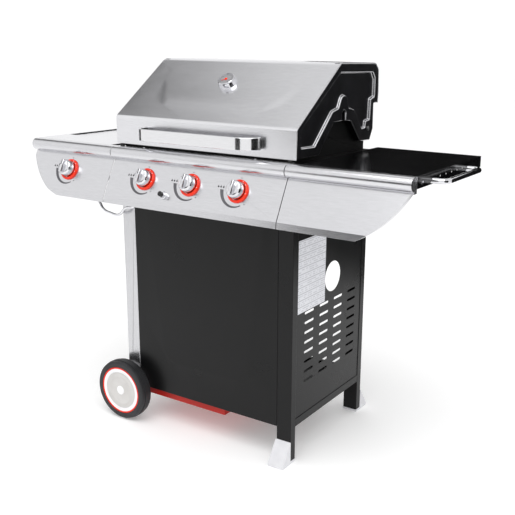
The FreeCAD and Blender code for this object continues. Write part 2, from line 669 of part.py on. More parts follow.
def gas_controls():
    bezels = []
    valves = []
    for word, across in knobs:
        at = (across, on_face("knobZ"), "knobZ")
        valve = new_body("gas_valve_" + word)
        pad(valve, "top", "-valveLow", "valveLow - valveTop",
            lambda sketch: rectangle(sketch, "-valveHalf", "-valveHalf", "valveHalf", "valveHalf"))
        cut(valve, "top", "-valveLow + 1", "valveLow - valveTop + 1",
            lambda sketch: circle(sketch, "0", "0", "stemRadius + runGap"))
        place(valve, at, face_tilt)
        valves.append(valve)
        stem = new_body("valve_stem_" + word)
        pad(stem, "top", "-stemLow", "stemLow + stemTop",
            lambda sketch: circle(sketch, "0", "0", "stemRadius"))
        node(stem, at, face_tilt)
        bezel = new_body("knob_bezel_" + word)
        revolve(bezel, [("bezelInner", "0.1"), ("bezelOuter", "0.1"), ("bezelOuter", "2.5", "5"),
                        ("bezelOuter - 4.5", "bezelRise"), ("bezelInner + 1", "bezelRise"),
                        ("bezelInner", "bezelRise - 1")])
        place(bezel, at, face_tilt)
        bezels.append(bezel)
        knob = new_body("knob_" + word)
        bore = "stemRadius + runGap"
        revolve(knob, [(bore, "knobBase"), ("knobRadius", "knobBase"), ("knobRadius", "knobShoulder"),
                       ("knobCap", "knobTop"), ("0", "knobTop + 1.5"), ("0", "stemTop + 0.6"),
                       (bore, "stemTop + 0.6")])
        # the grip bar across the cap
        pad(knob, "top", "knobTop - 3", "gripTop - knobTop + 3",
            lambda sketch: outline(sketch, [("-gripHalf", "-knobCap + 1.5", "knobCap"),
                                            ("gripHalf", "-knobCap + 1.5"),
                                            ("gripHalf", "knobCap - 1.5", "knobCap"),
                                            ("-gripHalf", "knobCap - 1.5")]))
        node(knob, at, face_tilt)
    node(group("gas_valves", valves))
    node(group("knob_bezels", bezels))


def igniter():
    at = ("-igniterX", on_face("igniterZ"), "igniterZ")
    bore = "buttonRadius + runGap"
    collar = new_body("igniter_collar")
    revolve(collar, [(bore, "-buttonLow - 2"), ("collarRadius", "-buttonLow - 2"), ("collarRadius", "0.1"),
                     ("collarFlange", "0.1"), ("collarFlange", "3"), ("collarRadius + 0.5", "5"),
                     ("collarRadius + 0.5", "collarTop"), (bore, "collarTop")])
    node(collar, at, face_tilt)
    button = new_body("igniter_button")
    revolve(button, [("0", "-buttonLow"), ("buttonRadius", "-buttonLow"), ("buttonRadius", "buttonTop - 1"),
                     ("buttonRadius - 1", "buttonTop"), ("0", "buttonTop")])
    node(button, at, face_tilt)


def gas_manifold():
    body = new_body("gas_manifold")
    slope = math.radians(face_slope)
    across = "%s + %.5f * manifoldDrop" % (on_face("knobZ"), math.cos(slope))
    up = "knobZ - %.5f * manifoldDrop" % math.sin(slope)

    def tube(sketch):
        circle(sketch, across, up, "manifoldRadius")
        circle(sketch, across, up, "manifoldRadius - 2")
    pad(body, "side", "-manifoldLeft", "manifoldLeft + manifoldRight", tube)
    for end in ("-manifoldLeft", "manifoldRight - 3"):
        pad(body, "side", end, "3", lambda sketch: circle(sketch, across, up, "manifoldRadius - 1"))

    # the inlet that the gas hose pushes on to
    def nozzle(sketch):
        circle(sketch, across, up, "nozzleRadius")
        circle(sketch, across, up, "nozzleRadius - 2")
    pad(body, "side", "manifoldRight", "nozzleLong", nozzle)
    node(body)


# ---- lid --------------------------------------------------------------------------------------

# the lid seen from its side: front foot, front strip, slope, flat top, rounded back
lid_front = [("-4", "907"), ("474", "1035"), ("477", "1062"), ("473", "1136"), ("451", "1155.6"),
             ("232", "1158.5"), ("-4", "989")]
# a cast end: the same outline, with its lower edge arched over the firebox
cast_outline = [("-4", "909"), ("116", "908"), ("198", "993.5"), ("247", "994"), ("247", "1016", "-10.6"),
                ("268", "1016"), ("268", "993"), ("300", "991"), ("364", "925"), ("429", "922"),
                ("449", "957"), ("448", "1034"), ("474", "1035"), ("477", "1062"), ("473", "1136"),
                ("451", "1155.6"), ("232", "1158.5"), ("-4", "989")]
# the sunk field inside the raised border of the casting
cast_field = [("19.5", "937"), ("92", "935"), ("189", "1025"), ("223", "1032"), ("234", "1052", "-24"),
              ("279", "1052"), ("286", "1028"), ("318", "1024"), ("335", "1008"), ("372", "963"),
              ("394", "964"), ("398", "984"), ("423", "987"), ("426", "1048"), ("451", "1055"),
              ("452", "1109"), ("436", "1128.5"), ("234", "1132"), ("40", "1000"), ("19.5", "983")]


def lid_skin():
    body = new_body("lid_skin")
    pad(body, "side", "-lidHalf", "2 * lidHalf", lambda sketch: outline(sketch, lid_front))

    def is_open(face):
        normal = face.normalAt(0, 0)
        return abs(normal.x) > 0.999 or normal.z < -0.9
    hollow(body, "sheet", is_open, outward=True)
    node(body)


def lid_side(side):
    body = new_body("lid_side_" + side_word(side))
    inner = "lidHalf - 0.3 - castThick" if side > 0 else "-lidHalf + 0.3"
    pad(body, "side", inner, "castThick", lambda sketch: outline(sketch, cast_outline))
    outside = "lidHalf - 0.3 - castRecess" if side > 0 else "-lidHalf + 0.3"
    inside = inner if side > 0 else "-lidHalf + 0.3 + castThick - castBack"
    cut(body, "side", outside, "castRecess", lambda sketch: outline(sketch, cast_field))
    cut(body, "side", inside, "castBack", lambda sketch: outline(sketch, cast_field))
    cut(body, "side", inner + " - 1", "castThick + 2",
        lambda sketch: circle(sketch, "pivotY", "pivotZ", "pinRadius + runGap"))
    node(body)


def hinge_pins():
    pins = []
    for side in (1, -1):
        body = new_body("hinge_pin_" + side_word(side))
        shank = "boxHalf - 5" if side > 0 else "-lidHalf - 0.5"
        head = "lidHalf + 0.4" if side > 0 else "-lidHalf - 3.4"
        pad(body, "side", shank, "lidHalf - boxHalf + 5.5",
            lambda sketch: circle(sketch, "pivotY", "pivotZ", "pinRadius"))
        pad(body, "side", head, "3", lambda sketch: circle(sketch, "pivotY", "pivotZ", "pinRadius + 3"))
        pins.append(body)
    node(group("hinge_pins", pins))


def lid_handle():
    body = new_body("lid_handle")
    inner = "(handleBend - handleThick)"
    centre = "(handleBend - handleFront)"
    outer_x = "(handleHalf + sqrt(handleBend^2 - (handleStand + %s)^2))" % centre
    inner_x = "(handleHalf + sqrt(%s^2 - (handleStand + %s)^2))" % (inner, centre)
    back = "handleThick - handleFront"
    pad(body, "top", "handleLow", "handleHigh - handleLow", lambda sketch: outline(sketch, [
        ("-" + outer_x, "-handleStand", "handleBend"), ("-handleHalf", "-handleFront"),
        ("handleHalf", "-handleFront", "handleBend"), (outer_x, "-handleStand"),
        (inner_x, "-handleStand", "-" + inner), ("handleHalf", back),
        ("-handleHalf", back, "-" + inner), ("-" + inner_x, "-handleStand")]))
    node(body)
    blocks = []
    for side in (1, -1):
        left = "handleEndX" if side > 0 else "-handleEndX - handleEndWide"
        blocks.append(box("handle_end_" + side_word(side), (left, "-handleStand + 0.1", "handleLow + 2"),
                          ("handleEndWide", "handleStand - lidSkinY - 0.1", "handleHigh - handleLow - 4")))
    node(group("lid_handle_ends", blocks))


def temperature_gauge():
    # the slope of the lid runs from (-4, 989) to (232, 1158.5)
    rise = (1158.5 - 989) / (232 + 4)
    tilt = math.degrees(math.atan(rise))
    at = ("gaugeX", "gaugeY", "989 + %.5f * (gaugeY + 4)" % rise)
    case = new_body("gauge_case")
    revolve(case, [("0", "1.4"), ("gaugeRadius", "1.4"), ("gaugeRadius", "4"),
                   ("gaugeRadius - 3.5", "gaugeHigh - 5"), ("gaugeRadius - 3.5", "gaugeHigh - 1.5"),
                   ("gaugeRadius - 5", "gaugeHigh"), ("dialRadius + 0.2", "gaugeHigh"),
                   ("dialRadius + 0.2", "gaugeHigh - 4"), ("0", "gaugeHigh - 4")])
    node(case, at, tilt)
    dial = new_body("gauge_dial")
    pad(dial, "top", "gaugeHigh - 3.9", "2", lambda sketch: circle(sketch, "0", "0", "dialRadius"))
    node(dial, at, tilt)


# ---- shelves, side burner, handles ------------------------------------------------------------

def is_below(face):
    return face.normalAt(0, 0).z < -0.999


def shelf_right():
    body = new_body("shelf_right")
    pad(body, "top", "shelfLow", "shelfTop - shelfLow",
        lambda sketch: rectangle(sketch, "shelfInner", "shelfFrontY", "rightEnd", "shelfBackY"))
    hollow(body, "sheet", is_below)

    def holes(sketch):
        for index in range(5):
            circle(sketch, "toolHoleY + %d * toolHolePitch" % index, "toolHoleZ", "toolHoleRadius")
    cut(body, "side", "rightEnd - 3", "5", holes)
    node(body)


def shelf_left():
    body = new_body("shelf_left")
    pad(body, "top", "shelfLow", "shelfTop - shelfLow",
        lambda sketch: rectangle(sketch, "-leftShelfEnd", "shelfFrontY", "-shelfInner", "shelfBackY"))
    hollow(body, "sheet", is_below)
    cut(body, "top", "shelfTop - 3", "5",
        lambda sketch: rectangle(sketch, "-wellLeft", "wellFront", "-wellRight", "wellBack"))
    node(body)


def side_burner():
    well = new_body("side_burner_well")
    pad(well, "top", "wellLow", "shelfTop - 0.5 - wellLow",
        lambda sketch: rectangle(sketch, "gap - wellLeft", "wellFront + gap",
                                 "-wellRight - gap", "wellBack - gap"))
    hollow(well, "sheet", lambda face: face.normalAt(0, 0).z > 0.999)
    axis_z = "coverLow + coverThick / 2"
    cut(well, "side", "-wellLeft - 5", "wellLeft - wellRight + 10",
        lambda sketch: circle(sketch, "coverPivotY", axis_z, "coverPin + runGap"))
    node(well)

    cover = new_body("side_burner_lid")
    pad(cover, "side", "-wellLeft + coverGap", "wellLeft - wellRight - 2 * coverGap",
        lambda sketch: outline(sketch, [("coverFront", "coverLow"),
                                        ("coverPivotY", "coverLow", "coverThick / 2"),
                                        ("coverPivotY + coverThick / 2", axis_z, "coverThick / 2"),
                                        ("coverPivotY", "coverLow + coverThick"),
                                        ("coverFront", "coverLow + coverThick")]))
    cut(cover, "top", "coverLow - 1", "coverThick + 2",
        lambda sketch: rectangle(sketch, "-notchLeft", "coverFront - 1",
                                 "-notchRight", "coverFront + notchDeep"))
    pad(cover, "side", "-wellLeft - 0.6", "wellLeft - wellRight + 1.2",
        lambda sketch: circle(sketch, "coverPivotY", axis_z, "coverPin"))
    node(cover)

    burner = new_body("side_burner")
    revolve(burner, [("0", "wellLow + sheet"), ("30", "wellLow + sheet"), ("30", "wellLow + 6"),
                     ("44", "wellLow + 8"), ("44", "wellLow + 11"), ("38", "wellLow + 12"),
                     ("36", "wellLow + 15"), ("0", "wellLow + 16")])
    node(burner, ("-sideBurnerX", "burnerY", "0"))

    support = new_body("pan_support")
    half = "supportHalf"
    inner = "supportHalf - supportBar"
    thick = "supportHigh - supportLow"

    def frame(sketch):
        rectangle(sketch, "-" + half, "-" + half, half, half)
        rectangle(sketch, "-(%s)" % inner, "-(%s)" % inner, inner, inner)
    pad(support, "top", "supportLow", thick, frame)
    for side in (1, -1):
        near, far = ("%d * 22" % side, "%d * (%s + 1)" % (side, inner))
        pad(support, "top", "supportLow", thick, lambda sketch: rectangle(
            sketch, near, "-supportBar / 2", far, "supportBar / 2"))
        pad(support, "top", "supportLow", thick, lambda sketch: rectangle(
            sketch, "-supportBar / 2", near, "supportBar / 2", far))
        for other in (1, -1):
            pad(support, "top", "wellLow + sheet", "supportLow - wellLow - sheet + 1",
                lambda sketch: rectangle(sketch, "%d * %s" % (side, half), "%d * %s" % (other, half),
                                         "%d * (%s)" % (side, inner), "%d * (%s)" % (other, inner)))
    node(support, ("-sideBurnerX", "burnerY", "0"))


def bent_wire(points, bend):
    """Straight runs joined by tangent arcs, through points in order."""
    edges = []
    start = points[0]
    for before, corner, after in zip(points, points[1:], points[2:]):
        into = (corner - before).normalize()
        out = (after - corner).normalize()
        half_turn = into.getAngle(out) / 2
        length = bend * math.tan(half_turn)
        first = corner - into * length
        last = corner + out * length
        middle = corner + (out - into).normalize() * (bend / math.cos(half_turn) - bend)
        edges.append(Part.LineSegment(start, first).toShape())
        edges.append(Part.Arc(first, middle, last).toShape())
        start = last
    edges.append(Part.LineSegment(start, points[-1]).toShape())
    return Part.Wire(edges)


def round_rod(name, points, bend, radius):
    """A rod bent along points; no PartDesign feature follows such a path as plainly."""
    path = bent_wire(points, bend)
    along = (points[1] - points[0]).normalize()
    ring = Part.Wire([Part.Circle(points[0], along, radius).toShape()])
    item = doc.addObject("Part::Feature", name)
    item.Shape = path.makePipeShell([ring], True, True)
    node(item)


def side_handle():
    rows = [("rightEnd + 0.1", "gripFront"), ("gripX", "gripFront"), ("gripX", "gripBack"),
            ("rightEnd + 0.1", "gripBack")]
    points = [Vector(number(across), number(back), number("gripZ")) for across, back in rows]
    round_rod("side_handle", points, number("gripBend"), number("gripRadius"))


def tool_hook():
    rows = [(-421, 752), (-381, 690), (-314, 678), (-286, 711), (-238, 714), (-230, 752)]
    points = [Vector(across, number("hookY"), up) for across, up in rows]
    round_rod("tool_hook", points, number("hookBend"), number("hookRadius"))


def screws():
    heads = []
    for word, across in (("left", "-212"), ("right", "196")):
        head = doc.addObject("Part::Cylinder", "ledge_screw_" + word)
        place(head, (across, "-8", "shelfTop"))
        heads.append(head)
    for word, across, turn in (("right", "rightEnd", 90), ("left", "-leftShelfEnd", -90)):
        head = doc.addObject("Part::Cylinder", "end_screw_" + word)
        place(head, (across, "17.6", "881"))
        head.Placement.Rotation = Rotation(Vector(0, 1, 0), turn)
        heads.append(head)
    for head in heads:
        head.setExpression("Radius", formula("screwRadius"))
        head.setExpression("Height", formula("screwHigh"))
    node(group("screws", heads))


for side in (-1, 1):
    for rear in (False, True):
        leg(side, rear)
    side_panel(side)
    firebox_end(side)
    lid_side(side)
    control_panel_wing(side)
foot(False)
foot(True)
front_panel()
rear_crossbars()
bottom_shelf()
bottle_tray()
data_card()
wheels()
firebox()
cooking_grates()
heat_tents()
burner_tubes()
drip_tray()
control_panel_centre()
gas_controls()
igniter()
gas_manifold()
lid_skin()
hinge_pins()
lid_handle()
temperature_gauge()
shelf_right()
shelf_left()
side_burner()
side_handle()
tool_hook()
screws()
doc.recompute()

for item in doc.Objects:
    if "Invalid" in item.State or "Error" in item.State:
        raise RuntimeError("%s did not build: %s" % (item.Name, item.State))
for before, feature in cutting:
    if feature.Shape.Volume > before.Shape.Volume - 0.01:
        raise RuntimeError("%s cuts nothing" % feature.Name)
os.makedirs("parts", exist_ok=True)
for item in nodes:
    if item.Shape.isNull() or not item.Shape.isValid():
        raise RuntimeError("%s has no valid shape" % item.Label)
    item.Shape.exportStep("parts/%s.step" % item.Label)
whole = Part.makeCompound([item.Shape for item in nodes]).BoundBox
print("%d sub-parts, box x %.1f %.1f, y %.1f %.1f, z %.1f %.1f" % (
    len(nodes), whole.XMin, whole.XMax, whole.YMin, whole.YMax, whole.ZMin, whole.ZMax))
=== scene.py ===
import json
import math

import bmesh
import bpy
from mathutils import Matrix, Vector

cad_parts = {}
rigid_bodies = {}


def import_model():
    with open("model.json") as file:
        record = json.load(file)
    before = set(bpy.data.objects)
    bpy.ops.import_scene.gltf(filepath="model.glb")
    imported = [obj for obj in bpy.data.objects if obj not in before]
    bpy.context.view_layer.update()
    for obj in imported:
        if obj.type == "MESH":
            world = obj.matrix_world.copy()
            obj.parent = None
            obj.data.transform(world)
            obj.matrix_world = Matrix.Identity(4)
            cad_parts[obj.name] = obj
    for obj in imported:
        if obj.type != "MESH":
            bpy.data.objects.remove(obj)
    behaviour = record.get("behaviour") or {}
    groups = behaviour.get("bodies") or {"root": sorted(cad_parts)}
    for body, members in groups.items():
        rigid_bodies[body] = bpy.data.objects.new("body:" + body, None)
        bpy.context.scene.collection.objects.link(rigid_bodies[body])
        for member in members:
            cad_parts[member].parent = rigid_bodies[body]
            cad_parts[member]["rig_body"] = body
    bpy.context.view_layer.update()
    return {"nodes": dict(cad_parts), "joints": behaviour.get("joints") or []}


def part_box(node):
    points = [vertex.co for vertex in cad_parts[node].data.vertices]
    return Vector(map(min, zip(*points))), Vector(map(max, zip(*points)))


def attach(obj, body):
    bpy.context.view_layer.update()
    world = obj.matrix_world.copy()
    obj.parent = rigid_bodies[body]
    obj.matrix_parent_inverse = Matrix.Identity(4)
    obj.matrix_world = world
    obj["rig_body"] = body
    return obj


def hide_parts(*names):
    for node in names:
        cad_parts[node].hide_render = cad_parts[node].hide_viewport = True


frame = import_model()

# A three-burner gas grill on a cart. The CAD keeps the structure; this script gives each sheet,
# casting and moulding its rounded edges and its finish, and adds the small parts and printing.

mm = 0.001
# distances in metres that count as nothing: between points, and from a point to a plane
weld = 0.00001
onPlane = 0.000001
nodes = frame["nodes"]
joints = {joint["name"]: joint for joint in frame["joints"]}

# the cart's own zero: midway between the legs, on the front of the legs, on the ground
legLow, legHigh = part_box("leg_front_left")[0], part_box("leg_front_right")[1]
cartZero = Vector(((legLow.x + legHigh.x) / 2, legLow.y, 0))


def cart(x, y, z):
    return cartZero + Vector((x, y, z)) * mm


# ---- small helpers

def linear(code):
    # an sRGB hex value as the linear colour that a shader wants
    parts = [int(code[i:i + 2], 16) / 255 for i in (1, 3, 5)]
    parts = [p / 12.92 if p <= 0.04045 else ((p + 0.055) / 1.055) ** 2.4 for p in parts]
    return (*parts, 1.0)


def addNode(tree, kind, settings=None, links=None):
    made = tree.nodes.new(kind)
    for name, value in (settings or {}).items():
        if isinstance(name, str) and hasattr(made, name):
            setattr(made, name, value)
        else:
            made.inputs[name].default_value = value
    for name, source in (links or {}).items():
        tree.links.new(source, made.inputs[name])
    return made


def newFinish(name, settings):
    # a material with its shader, and Object coordinates to hang the patterns on
    material = bpy.data.materials.new(name)
    material.use_nodes = True
    tree = material.node_tree
    shader = tree.nodes["Principled BSDF"]
    for socket, value in settings.items():
        shader.inputs[socket].default_value = value
    where = addNode(tree, "ShaderNodeTexCoord").outputs["Object"]
    return material, tree, shader, where


def grainNoise(tree, where, perMetre, detail=3.0, roughness=0.55):
    # perMetre is how many bumps fit in a metre along x, y and z
    placed = addNode(tree, "ShaderNodeMapping", {"Scale": perMetre}, {"Vector": where})
    return addNode(tree, "ShaderNodeTexNoise",
                   {"Scale": 1.0, "Detail": detail, "Roughness": roughness},
                   {"Vector": placed.outputs[0]}).outputs["Fac"]


def spread(tree, source, low, high, fromLow=0.3, fromHigh=0.7):
    return addNode(tree, "ShaderNodeMapRange",
                   {"From Min": fromLow, "From Max": fromHigh, "To Min": low, "To Max": high},
                   {"Value": source}).outputs[0]


def blendColours(tree, source, dark, light):
    return addNode(tree, "ShaderNodeMix", {"data_type": "RGBA", 6: linear(dark), 7: linear(light)},
                   {0: spread(tree, source, 0, 1)}).outputs[2]


def bumpFrom(tree, shader, height, distance, strength):
    bump = addNode(tree, "ShaderNodeBump", {"Distance": distance, "Strength": strength},
                   {"Height": height})
    tree.links.new(bump.outputs[0], shader.inputs["Normal"])


# ---- materials

def brushedSheet(name, dark, light, along, roughness=(0.22, 0.27), strength=0.03):
    # stainless sheet, belt-brushed one way: fine streaks that blur reflections across the grain,
    # and smudges 140 mm across.
    # Real scratches are near 0.1 mm apart and 30 mm long; drawn 1 mm apart so that they show.
    material, tree, shader, where = newFinish(name, {"Metallic": 1.0})
    streaks = [1000.0, 1000.0, 1000.0]
    streaks["xyz".index(along)] = 33.0
    fine = grainNoise(tree, where, streaks, 1.0, 0.5)
    smudge = grainNoise(tree, where, (7, 7, 7), 2.0)
    tree.links.new(blendColours(tree, fine, dark, light), shader.inputs["Base Color"])
    both = addNode(tree, "ShaderNodeMath", {"operation": "ADD"},
                   {0: spread(tree, fine, roughness[0] / 2, roughness[1] / 2),
                    1: spread(tree, smudge, roughness[0] / 2, roughness[1] / 2)})
    tree.links.new(both.outputs[0], shader.inputs["Roughness"])
    bumpFrom(tree, shader, fine, 0.00004, strength)
    return material


def powderCoat(name, dark, light, roughness, peel=0.18, specular=0.3):
    # baked powder on steel: an even satin coat with a shallow orange peel near 2.5 mm across
    material, tree, shader, where = newFinish(name, {"Specular IOR Level": specular})
    peelNoise = grainNoise(tree, where, (400, 400, 400), 2.0)
    cloud = grainNoise(tree, where, (5, 5, 5), 3.0)
    tree.links.new(blendColours(tree, cloud, dark, light), shader.inputs["Base Color"])
    tree.links.new(spread(tree, cloud, *roughness), shader.inputs["Roughness"])
    bumpFrom(tree, shader, peelNoise, 0.00008, peel)
    return material


def castMetal(name, dark, light, roughness, metallic, grain, strength):
    # die or sand casting: a skin of fine grains between 1 and 2 mm, faintly clouded in colour
    material, tree, shader, where = newFinish(name, {"Metallic": metallic})
    skin = grainNoise(tree, where, (grain, grain, grain), 5.0, 0.65)
    cloud = grainNoise(tree, where, (14, 14, 14), 3.0)
    tree.links.new(blendColours(tree, cloud, dark, light), shader.inputs["Base Color"])
    tree.links.new(spread(tree, skin, *roughness), shader.inputs["Roughness"])
    bumpFrom(tree, shader, skin, 0.00025, strength)
    return material


def platedMetal(name, dark, light, roughness):
    # bright plating over polished steel: a clear mirror, with faint wipe marks 12 mm across
    material, tree, shader, where = newFinish(name, {"Metallic": 1.0})
    wipe = grainNoise(tree, where, (80, 80, 80), 3.0)
    tree.links.new(blendColours(tree, wipe, dark, light), shader.inputs["Base Color"])
    tree.links.new(spread(tree, wipe, *roughness), shader.inputs["Roughness"])
    bumpFrom(tree, shader, wipe, 0.00002, 0.1)
    return material


def mouldedPlastic(name, dark, light, roughness, grain=900, strength=0.15, specular=0.45):
    # injection moulding: an even colour with the spark texture of the tool, between 1 and 2 mm
    material, tree, shader, where = newFinish(name, {"Specular IOR Level": specular})
    spark = grainNoise(tree, where, (grain, grain, grain), 2.0)
    cloud = grainNoise(tree, where, (20, 20, 20), 2.0)
    tree.links.new(blendColours(tree, cloud, dark, light), shader.inputs["Base Color"])
    tree.links.new(spread(tree, spark, *roughness), shader.inputs["Roughness"])
    bumpFrom(tree, shader, spark, 0.00006, strength)
    return material


def printedCard(name, rowGap, ruleGap):
    # white coated card with rows of grey print, drawn as broken dashes and not as words, between
    # ruled lines. Real rows are 4 mm apart; drawn a little coarser so that they show.
    material, tree, shader, where = newFinish(name, {"Roughness": 0.5})
    waves = [addNode(tree, "ShaderNodeTexWave",
                     {"wave_type": "BANDS", "bands_direction": "Z", "Scale": math.pi / 10 / gap},
                     {"Vector": where}).outputs["Fac"] for gap in (rowGap * mm, ruleGap * mm)]
    # each row keeps to its own height in the noise, so its dashes run level
    level = addNode(tree, "ShaderNodeVectorMath", {"operation": "SNAP", 1: (1, 0.0005, rowGap * mm)},
                    {0: where})
    words = grainNoise(tree, level.outputs[0], (1, 90, 900), 0.0)
    dashes = addNode(tree, "ShaderNodeMath", {"operation": "MULTIPLY"},
                     {0: spread(tree, waves[0], 0, 0.38, 0.35, 0.75),
                      1: spread(tree, words, 0, 1, 0.44, 0.52)})
    inked = addNode(tree, "ShaderNodeMath", {"operation": "MAXIMUM"},
                    {0: dashes.outputs[0], 1: spread(tree, waves[1], 0, 0.55, 0.93, 0.99)})
    tree.links.new(addNode(tree, "ShaderNodeMix",
                           {"data_type": "RGBA", 6: linear("#dcdde2"), 7: linear("#85858c")},
                           {0: inked.outputs[0]}).outputs[2], shader.inputs["Base Color"])
    return material


finishes = {
    "steelAcross": brushedSheet("stainless_sheet_brushed_across", "#dcdcdf", "#e4e4e7", "x"),
    "steelPanel": brushedSheet("stainless_sheet_brushed_panel", "#cfcfd2", "#d6d6d9", "x"),
    "steelUpright": brushedSheet("stainless_sheet_brushed_upright", "#c0c0c3", "#cacacc", "z"),
    "steelHandle": brushedSheet("stainless_bar_brushed", "#e2e2e4", "#ebebed", "x", (0.1, 0.15)),
    "blackCoat": powderCoat("black_powder_coat_satin", "#070708", "#0c0c0d", (0.26, 0.34), 0.12, 0.24),
    "shelfCoat": powderCoat("black_enamel_coat_gloss", "#060607", "#0b0b0c", (0.12, 0.18), 0.06, 0.3),
    "ovenCoat": powderCoat("heat_paint_black_dull", "#070708", "#0e0e0e", (0.5, 0.62), 0.3, 0.15),
    "redCoat": powderCoat("red_powder_coat", "#a3190f", "#b8241a", (0.36, 0.44)),
    "castEnd": castMetal("aluminium_die_cast", "#2c2c2f", "#3a3a3e", (0.24, 0.38), 0.9, 900, 0.2),
    # the castings' rounded edges: a lighter copy of the cast metal, a painted highlight
    "castEdgeHighlight": castMetal("aluminium_edge_painted_highlight", "#b4b4b7", "#cfcfd2", (0.2, 0.3), 1.0, 900, 0.1),
    "castIron": castMetal("cast_iron_enamelled", "#151515", "#222222", (0.5, 0.7), 0.2, 600, 0.6),
    "chrome": platedMetal("chrome_plate_polished", "#cfcfd3", "#e2e2e5", (0.05, 0.12)),
    "zinc": platedMetal("zinc_plated_steel", "#9a9b9d", "#b4b5b6", (0.3, 0.45)),
    "brass": platedMetal("brass_machined", "#b08a45", "#c9a45c", (0.22, 0.34)),
    "redGloss": mouldedPlastic("abs_red_gloss", "#e22408", "#ee3212", (0.16, 0.24), 700, 0.04, 0.38),
    "tyre": mouldedPlastic("tyre_compound_moulded", "#232325", "#2f2f32", (0.5, 0.62), 500, 0.35, 0.4),
    "hub": mouldedPlastic("polypropylene_white_moulded", "#ececee", "#f6f6f7", (0.34, 0.44)),
    "hubGrey": mouldedPlastic("polypropylene_grey_printed", "#c3c1be", "#cfcdcb", (0.36, 0.46)),
    "foot": mouldedPlastic("polypropylene_pale_grey_moulded", "#cfcfd3", "#dddde0", (0.4, 0.5)),
    "blackPlastic": mouldedPlastic("phenolic_black_moulded", "#111112", "#1a1a1b", (0.26, 0.36)),
    "rubber": mouldedPlastic("rubber_bumper_moulded", "#0f0f0f", "#171717", (0.6, 0.75)),
    "inkBlack": mouldedPlastic("screen_print_black", "#1b1b1d", "#232325", (0.45, 0.55), 900, 0.02),
    "inkGrey": mouldedPlastic("screen_print_grey", "#4c4c50", "#59595d", (0.45, 0.55), 900, 0.02),
    "inkWhite": mouldedPlastic("pad_print_white", "#f0f0f0", "#fafafa", (0.4, 0.5), 900, 0.02),
    "card": printedCard("card_coated_printed", 6.5, 19.5),
    "dialFace": brushedSheet("aluminium_dial_spun", "#b9b9bc", "#cdcdd0", "x", (0.3, 0.4)),
}
print("materials made:", len(finishes))


# ---- turning bmesh work into pieces

def finishPiece(name, bm, body, finish, replaced=(), smooth=35, closed=False):
    # a closed piece is welded and turned to face outwards
    if closed:
        bmesh.ops.remove_doubles(bm, verts=bm.verts, dist=weld)
        bmesh.ops.recalc_face_normals(bm, faces=bm.faces)
    mesh = bpy.data.meshes.new(name)
    bm.to_mesh(mesh)
    bm.free()
    piece = bpy.data.objects.new(name, mesh)
    bpy.context.scene.collection.objects.link(piece)
    mesh.shade_smooth()
    mesh.set_sharp_from_angle(angle=math.radians(smooth))
    mesh.materials.append(finishes[finish])
    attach(piece, body)
    if replaced:
        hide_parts(*replaced)
    return piece


def evenShading(piece):
    # large flat faces set the shading, so the splits across them show less
    weigh = piece.modifiers.new("even shading", "WEIGHTED_NORMAL")
    weigh.keep_sharp = True


def softEdges(piece, width, segments=2, angle=32):
    bevel = piece.modifiers.new("edge rounding", "BEVEL")
    bevel.width = width * mm
    bevel.segments = segments
    bevel.profile = 0.5
    bevel.limit_method = "ANGLE"
    bevel.angle_limit = math.radians(angle)
    bevel.use_clamp_overlap = False
    bevel.miter_outer = "MITER_ARC"
    evenShading(piece)


def roundOff(bm, edges, radius, segments):
    return bmesh.ops.bevel(bm, geom=edges, offset=radius * mm, offset_type="OFFSET", affect="EDGES",
                           segments=segments, profile=0.5, material=-1, clamp_overlap=True)["faces"]


def cuboid(bm, low, high):
    # a box between two corners in metres
    made = bmesh.ops.create_cube(bm, size=1.0)["verts"]
    bmesh.ops.scale(bm, vec=high - low, verts=made)
    bmesh.ops.translate(bm, vec=(low + high) / 2, verts=made)
    return made


def turn(bm, profile, place, steps=64):
    # spins (radius, height) points about the z axis of place; points of radius 0 are the poles
    verts = [bm.verts.new((radius * mm, 0, height * mm)) for radius, height in profile]
    edges = [bm.edges.new(pair) for pair in zip(verts, verts[1:])]
    if profile[0] != profile[-1] and profile[0][0] and profile[-1][0]:
        edges.append(bm.edges.new((verts[-1], verts[0])))
    bmesh.ops.spin(bm, geom=verts + edges, cent=(0, 0, 0), axis=(0, 0, 1), angle=2 * math.pi,
                   steps=steps, use_merge=True)
    fresh = [v for v in bm.verts if not v.tag]
    bmesh.ops.remove_doubles(bm, verts=fresh, dist=weld)
    # a profile with two poles leaves a lone edge between them
    bmesh.ops.delete(bm, geom=[e for e in bm.edges if e.is_wire], context="EDGES")
    fresh = [v for v in bm.verts if not v.tag]
    bmesh.ops.transform(bm, matrix=place, verts=fresh)
    for vert in fresh:
        vert.tag = True


def block(bm, low, high, place, round_=0.0, segments=2):
    # a box between two corners in mm, edges rounded, then put in its place
    made = cuboid(bm, Vector(low) * mm, Vector(high) * mm)
    if round_:
        edges = list({edge for vert in made for edge in vert.link_edges})
        faces = roundOff(bm, edges, round_, segments)
        made = list({v for face in faces for v in face.verts} | {v for v in made if v.is_valid})
    bmesh.ops.transform(bm, matrix=place, verts=made)
    for vert in made:
        vert.tag = True


def frameAt(origin, normal, side=Vector((1, 0, 0))):
    # local x is side, local z is the outward normal, local y is what is left
    normal = Vector(normal).normalized()
    up = normal.cross(side).normalized()
    across = up.cross(normal)
    return Matrix.Translation(origin) @ Matrix((across, up, normal)).transposed().to_4x4()


# ---- CAD parts that only need a finish

